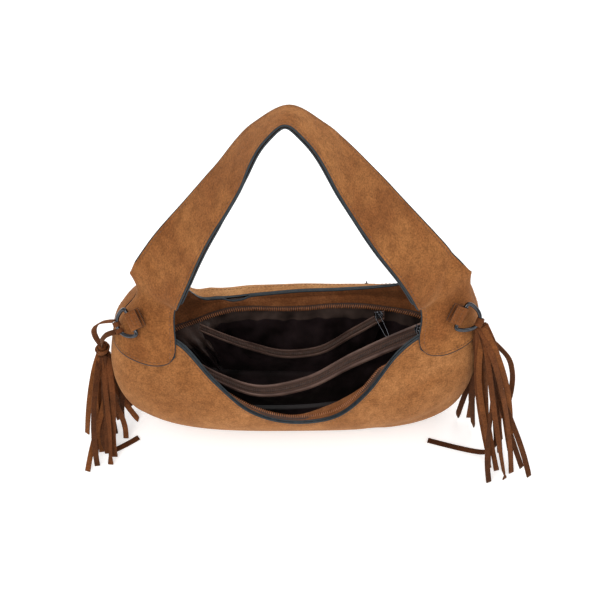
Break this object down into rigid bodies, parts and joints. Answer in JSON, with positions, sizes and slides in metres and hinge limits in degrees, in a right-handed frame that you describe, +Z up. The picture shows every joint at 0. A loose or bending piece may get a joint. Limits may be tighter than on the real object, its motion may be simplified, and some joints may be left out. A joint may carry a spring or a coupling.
{
  "type": "fringed suede bag",
  "caption": "Slouching suede shoulder bag with a wide leaf handle, an open zip mouth, inner zip pockets and lace tassels on side rings.",
  "frame": {"origin": "on the face that the bag stands on, at the middle of its base", "axes": "+Z up, the front panel faces -Y, +X towards the bag's left hand as its wearer would see it from the front"},
  "size_m": [0.476, 0.2036, 0.4452],
  "materials": {
    "suede": "napped suede, painted cut edges",
    "suede_lace": "napped suede lace",
    "lining_satin": "dark brown satin",
    "zip_tape": "woven tape with moulded teeth",
    "gunmetal": "polished dark gunmetal plating"
  },
  "bodies": {
    "bag": {"base_panel": "suede", "front_panel": "suede", "back_panel": "suede", "front_facing": "suede", "back_facing": "suede", "front_zip_tape": "zip_tape", "back_zip_tape": "zip_tape", "front_lining": "lining_satin", "back_lining": "lining_satin", "handle_front_leaf": "suede", "handle_back_leaf": "suede", "left_ring_tab": "suede", "right_ring_tab": "suede", "divider_front_wall": "lining_satin", "divider_back_wall": "lining_satin", "divider_zip": "zip_tape", "pocket_wall": "lining_satin", "pocket_zip": "zip_tape", "outer_zip_tape": "zip_tape", "main_zip_slider": "gunmetal"},
    "left_ring": {"left_d_ring": "gunmetal"},
    "left_tassel": {"left_tassel_loop": "suede_lace", "left_tassel_knot": "suede_lace", "left_tassel_laces": "suede_lace", "left_stray_lace": "suede_lace"},
    "right_ring": {"right_d_ring": "gunmetal"},
    "right_tassel": {"right_tassel_laces": "suede_lace", "right_stray_lace": "suede_lace", "right_outer_lace": "suede_lace"},
    "outer_slider": {"outer_zip_slider": "gunmetal"},
    "outer_puller": {"outer_zip_puller": "gunmetal"},
    "divider_slider": {"divider_zip_slider": "gunmetal"},
    "divider_puller": {"divider_zip_puller": "gunmetal"},
    "pocket_slider": {"pocket_zip_slider": "gunmetal"},
    "pocket_puller": {"pocket_zip_puller": "gunmetal"},
    "main_puller": {"main_zip_puller": "gunmetal"}
  },
  "joints": [
    {"name": "left_ring_swing", "type": "hinge", "parent": "bag", "child": "left_ring", "pos_m": [-0.1667, -0.0285, 0.2035], "axis": [-0.4305, 0.7408, 0.5156], "range_deg": [0, 100]},
    {"name": "left_tassel_hang", "type": "hinge", "parent": "left_ring", "child": "left_tassel", "pos_m": [-0.18119, -0.026, 0.18781], "axis": [-0.4305, 0.7408, 0.5156], "range_deg": [-100, 0]},
    {"name": "right_ring_swing", "type": "hinge", "parent": "bag", "child": "right_ring", "pos_m": [0.1595, -0.0223, 0.2046], "axis": [-0.4203, -0.6004, -0.6804], "range_deg": [0, 100]},
    {"name": "right_tassel_hang", "type": "hinge", "parent": "right_ring", "child": "right_tassel", "pos_m": [0.17799, -0.02282, 0.19364], "axis": [-0.4203, -0.6004, -0.6804], "range_deg": [-100, 0]},
    {"name": "outer_zip_slide", "type": "slide", "parent": "bag", "child": "outer_slider", "axis": [-0.9953, 0.0472, -0.0847], "range_m": [0, 0.14]},
    {"name": "outer_puller_swing", "type": "hinge", "parent": "outer_slider", "child": "outer_puller", "pos_m": [0.07355, 0.09923, 0.08978], "axis": [0.9953, -0.0472, 0.0847], "range_deg": [0, 150]},
    {"name": "divider_zip_slide", "type": "slide", "parent": "bag", "child": "divider_slider", "axis": [-0.915, -0.2282, -0.3327], "range_m": [0, 0.026]},
    {"name": "divider_puller_swing", "type": "hinge", "parent": "divider_slider", "child": "divider_puller", "pos_m": [0.12069, 0.00165, 0.15039], "axis": [-0.915, -0.2282, -0.3327], "range_deg": [0, 100]},
    {"name": "pocket_zip_slide", "type": "slide", "parent": "bag", "child": "pocket_slider", "axis": [-0.8225, -0.198, -0.5331], "range_m": [0, 0.024]},
    {"name": "pocket_puller_swing", "type": "hinge", "parent": "pocket_slider", "child": "pocket_puller", "pos_m": [0.08133, 0.04571, 0.11049], "axis": [-0.8225, -0.198, -0.5331], "range_deg": [0, 100]},
    {"name": "main_puller_swing", "type": "hinge", "parent": "bag", "child": "main_puller", "pos_m": [0.14728, 0.002, 0.16516], "axis": [-0.995, 0, -0.0995], "range_deg": [0, 100]}
  ],
  "couplings": [
    {"joint": "left_tassel_hang", "follows": "left_ring_swing", "ratio": -1},
    {"joint": "right_tassel_hang", "follows": "right_ring_swing", "ratio": -1}
  ]
}
